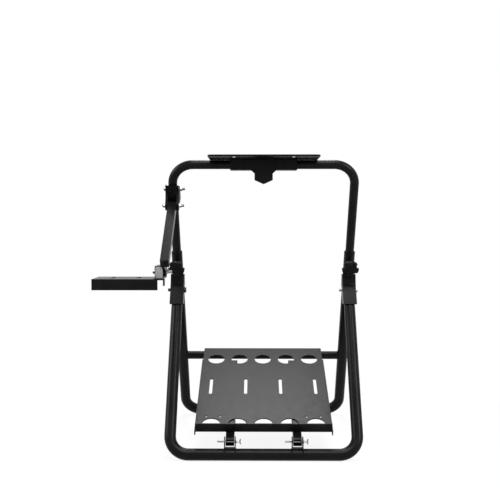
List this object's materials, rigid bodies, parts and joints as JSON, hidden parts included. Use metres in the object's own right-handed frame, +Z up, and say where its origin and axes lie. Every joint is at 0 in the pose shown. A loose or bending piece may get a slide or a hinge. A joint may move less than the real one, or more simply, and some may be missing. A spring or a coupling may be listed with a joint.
{
  "type": "racing wheel stand",
  "caption": "Folding A-frame stand of bent black tube with a sliding upper frame, a wheel plate, a sloping perforated pedal tray and a clamped side arm for a shifter.",
  "frame": {"origin": "on the floor, under the middle of the whole stand's box", "axes": "+X to the driver's right along the cross tubes, +Y away from the driver, +Z up"},
  "size_m": [0.6406, 0.5564, 0.7164],
  "materials": {
    "black_coat": "semi-gloss black powder coat",
    "black_plastic": "fine-grained black moulding",
    "grey_plastic": "light grey moulding",
    "zinc_steel": "zinc plated",
    "dark_steel": "blackened"
  },
  "bodies": {
    "rear_assembly": {"rear_frame_tube": "black_coat", "rear_cross_bar": "black_coat", "elbow_bracket_left": "black_coat", "elbow_bracket_right": "black_coat", "pivot_bolt_left": "dark_steel", "pivot_bolt_right": "zinc_steel", "sleeve_bush_left": "black_plastic", "sleeve_bush_right": "black_plastic", "knob_boss_left": "zinc_steel", "knob_boss_right": "zinc_steel"},
    "front_assembly": {"front_frame_tube": "black_coat", "tray_clevis_left": "black_coat", "tray_clevis_right": "black_coat", "tray_bolt_left": "zinc_steel", "tray_bolt_right": "zinc_steel"},
    "tray_assembly": {"tray_pan": "black_coat", "tray_side_left": "black_coat", "tray_side_right": "black_coat", "tray_arm_left": "black_coat", "tray_arm_right": "black_coat"},
    "upper_assembly": {"upper_frame_tube": "black_coat", "wheel_plate": "black_coat", "plate_saddle": "black_coat", "shield_gusset": "black_coat", "clamp_outer": "black_plastic", "clamp_inner": "black_plastic", "clamp_pivot_bolt": "zinc_steel", "clamp_bolt": "zinc_steel"},
    "arm_assembly": {"shifter_arm_tube": "black_coat", "shifter_arm_plug": "black_plastic", "shifter_lug": "black_coat", "shifter_tilt_bolt": "zinc_steel"},
    "table_assembly": {"shifter_rail": "black_coat", "rail_plug_front": "grey_plastic", "rail_plug_back": "black_plastic", "shifter_plate": "black_coat"},
    "left_knob": {"knob_left": "black_plastic", "knob_stem_left": "zinc_steel"},
    "right_knob": {"knob_right": "black_plastic", "knob_stem_right": "zinc_steel"}
  },
  "joints": [
    {"name": "height_slide", "type": "slide", "parent": "rear_assembly", "child": "upper_assembly", "axis": [0, -0.4924, 0.8704], "range_m": [-0.06, 0.03]},
    {"name": "front_fold", "type": "hinge", "parent": "rear_assembly", "child": "front_assembly", "pos_m": [0.07495, 0.01573, 0.38544], "axis": [1, 0, 0], "range_deg": [0, 59.5]},
    {"name": "tray_tilt", "type": "hinge", "parent": "front_assembly", "child": "tray_assembly", "pos_m": [0.07495, -0.19872, 0.045], "axis": [1, 0, 0], "range_deg": [0, 38.06]},
    {"name": "shifter_arm_swing", "type": "hinge", "parent": "upper_assembly", "child": "arm_assembly", "pos_m": [-0.14935, -0.09981, 0.60256], "axis": [1, 0, 0], "range_deg": [-25, 20]},
    {"name": "shifter_plate_tilt", "type": "hinge", "parent": "arm_assembly", "child": "table_assembly", "pos_m": [-0.15635, -0.22252, 0.44763], "axis": [1, 0, 0], "range_deg": [-15, 15]},
    {"name": "left_knob_turn", "type": "hinge", "parent": "rear_assembly", "child": "left_knob", "pos_m": [-0.14805, 0.01085, 0.4618], "axis": [0, -0.8704, -0.4924], "continuous": true},
    {"name": "right_knob_turn", "type": "hinge", "parent": "rear_assembly", "child": "right_knob", "pos_m": [0.29795, 0.01085, 0.4618], "axis": [0, -0.8704, -0.4924], "continuous": true}
  ],
  "couplings": [
    {"joint": "tray_tilt", "follows": "front_fold", "ratio": 0.6389}
  ]
}
